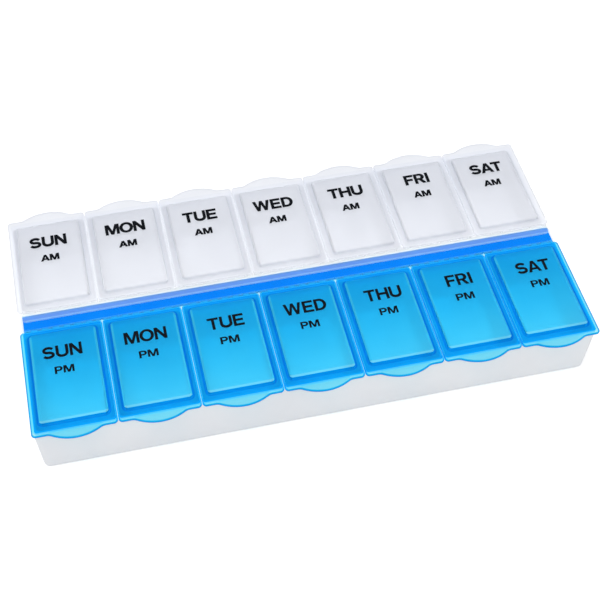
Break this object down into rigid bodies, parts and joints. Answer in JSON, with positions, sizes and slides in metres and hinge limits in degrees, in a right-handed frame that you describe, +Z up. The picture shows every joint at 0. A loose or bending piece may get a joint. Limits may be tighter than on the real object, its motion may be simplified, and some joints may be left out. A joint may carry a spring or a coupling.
{
  "type": "weekly pill organizer",
  "caption": "Low moulded tray with two rows of compartments, each closed by its own flip lid on a living hinge, blue lids in front and clear lids behind.",
  "frame": {"origin": "on the table, under the middle of the tray", "axes": "+X along the days from Sunday to Saturday, +Y from the evening row at the front to the morning row at the back, +Z up"},
  "size_m": [0.218, 0.1126, 0.0264],
  "materials": {
    "tray_plastic": "satin moulded off-white plastic",
    "blue_plastic": "translucent blue plastic, smooth gloss",
    "clear_plastic": "frosted clear plastic, soft gloss"
  },
  "bodies": {
    "tray": {"base_tray": "tray_plastic", "pm_hinge_strip": "blue_plastic", "am_hinge_strip": "clear_plastic", "sunday_pm_hinge": "blue_plastic", "monday_pm_hinge": "blue_plastic", "tuesday_pm_hinge": "blue_plastic", "wednesday_pm_hinge": "blue_plastic", "thursday_pm_hinge": "blue_plastic", "friday_pm_hinge": "blue_plastic", "saturday_pm_hinge": "blue_plastic", "sunday_am_hinge": "clear_plastic", "monday_am_hinge": "clear_plastic", "tuesday_am_hinge": "clear_plastic", "wednesday_am_hinge": "clear_plastic", "thursday_am_hinge": "clear_plastic", "friday_am_hinge": "clear_plastic", "saturday_am_hinge": "clear_plastic"},
    "sunday_pm_flap": {"sunday_pm_lid": "blue_plastic"},
    "monday_pm_flap": {"monday_pm_lid": "blue_plastic"},
    "tuesday_pm_flap": {"tuesday_pm_lid": "blue_plastic"},
    "wednesday_pm_flap": {"wednesday_pm_lid": "blue_plastic"},
    "thursday_pm_flap": {"thursday_pm_lid": "blue_plastic"},
    "friday_pm_flap": {"friday_pm_lid": "blue_plastic"},
    "saturday_pm_flap": {"saturday_pm_lid": "blue_plastic"},
    "sunday_am_flap": {"sunday_am_lid": "clear_plastic"},
    "monday_am_flap": {"monday_am_lid": "clear_plastic"},
    "tuesday_am_flap": {"tuesday_am_lid": "clear_plastic"},
    "wednesday_am_flap": {"wednesday_am_lid": "clear_plastic"},
    "thursday_am_flap": {"thursday_am_lid": "clear_plastic"},
    "friday_am_flap": {"friday_am_lid": "clear_plastic"},
    "saturday_am_flap": {"saturday_am_lid": "clear_plastic"}
  },
  "joints": [
    {"name": "sunday_pm_hinge_joint", "type": "hinge", "parent": "tray", "child": "sunday_pm_flap", "pos_m": [-0.093, -0.0046, 0.02485], "axis": [-1, 0, 0], "range_deg": [0, 93], "deforming": ["sunday_pm_hinge"]},
    {"name": "monday_pm_hinge_joint", "type": "hinge", "parent": "tray", "child": "monday_pm_flap", "pos_m": [-0.062, -0.0046, 0.02485], "axis": [-1, 0, 0], "range_deg": [0, 93], "deforming": ["monday_pm_hinge"]},
    {"name": "tuesday_pm_hinge_joint", "type": "hinge", "parent": "tray", "child": "tuesday_pm_flap", "pos_m": [-0.031, -0.0046, 0.02485], "axis": [-1, 0, 0], "range_deg": [0, 93], "deforming": ["tuesday_pm_hinge"]},
    {"name": "wednesday_pm_hinge_joint", "type": "hinge", "parent": "tray", "child": "wednesday_pm_flap", "pos_m": [0, -0.0046, 0.02485], "axis": [-1, 0, 0], "range_deg": [0, 93], "deforming": ["wednesday_pm_hinge"]},
    {"name": "thursday_pm_hinge_joint", "type": "hinge", "parent": "tray", "child": "thursday_pm_flap", "pos_m": [0.031, -0.0046, 0.02485], "axis": [-1, 0, 0], "range_deg": [0, 93], "deforming": ["thursday_pm_hinge"]},
    {"name": "friday_pm_hinge_joint", "type": "hinge", "parent": "tray", "child": "friday_pm_flap", "pos_m": [0.062, -0.0046, 0.02485], "axis": [-1, 0, 0], "range_deg": [0, 93], "deforming": ["friday_pm_hinge"]},
    {"name": "saturday_pm_hinge_joint", "type": "hinge", "parent": "tray", "child": "saturday_pm_flap", "pos_m": [0.093, -0.0046, 0.02485], "axis": [-1, 0, 0], "range_deg": [0, 93], "deforming": ["saturday_pm_hinge"]},
    {"name": "sunday_am_hinge_joint", "type": "hinge", "parent": "tray", "child": "sunday_am_flap", "pos_m": [-0.093, 0.0046, 0.02485], "axis": [1, 0, 0], "range_deg": [0, 93], "deforming": ["sunday_am_hinge"]},
    {"name": "monday_am_hinge_joint", "type": "hinge", "parent": "tray", "child": "monday_am_flap", "pos_m": [-0.062, 0.0046, 0.02485], "axis": [1, 0, 0], "range_deg": [0, 93], "deforming": ["monday_am_hinge"]},
    {"name": "tuesday_am_hinge_joint", "type": "hinge", "parent": "tray", "child": "tuesday_am_flap", "pos_m": [-0.031, 0.0046, 0.02485], "axis": [1, 0, 0], "range_deg": [0, 93], "deforming": ["tuesday_am_hinge"]},
    {"name": "wednesday_am_hinge_joint", "type": "hinge", "parent": "tray", "child": "wednesday_am_flap", "pos_m": [0, 0.0046, 0.02485], "axis": [1, 0, 0], "range_deg": [0, 93], "deforming": ["wednesday_am_hinge"]},
    {"name": "thursday_am_hinge_joint", "type": "hinge", "parent": "tray", "child": "thursday_am_flap", "pos_m": [0.031, 0.0046, 0.02485], "axis": [1, 0, 0], "range_deg": [0, 93], "deforming": ["thursday_am_hinge"]},
    {"name": "friday_am_hinge_joint", "type": "hinge", "parent": "tray", "child": "friday_am_flap", "pos_m": [0.062, 0.0046, 0.02485], "axis": [1, 0, 0], "range_deg": [0, 93], "deforming": ["friday_am_hinge"]},
    {"name": "saturday_am_hinge_joint", "type": "hinge", "parent": "tray", "child": "saturday_am_flap", "pos_m": [0.093, 0.0046, 0.02485], "axis": [1, 0, 0], "range_deg": [0, 93], "deforming": ["saturday_am_hinge"]}
  ]
}
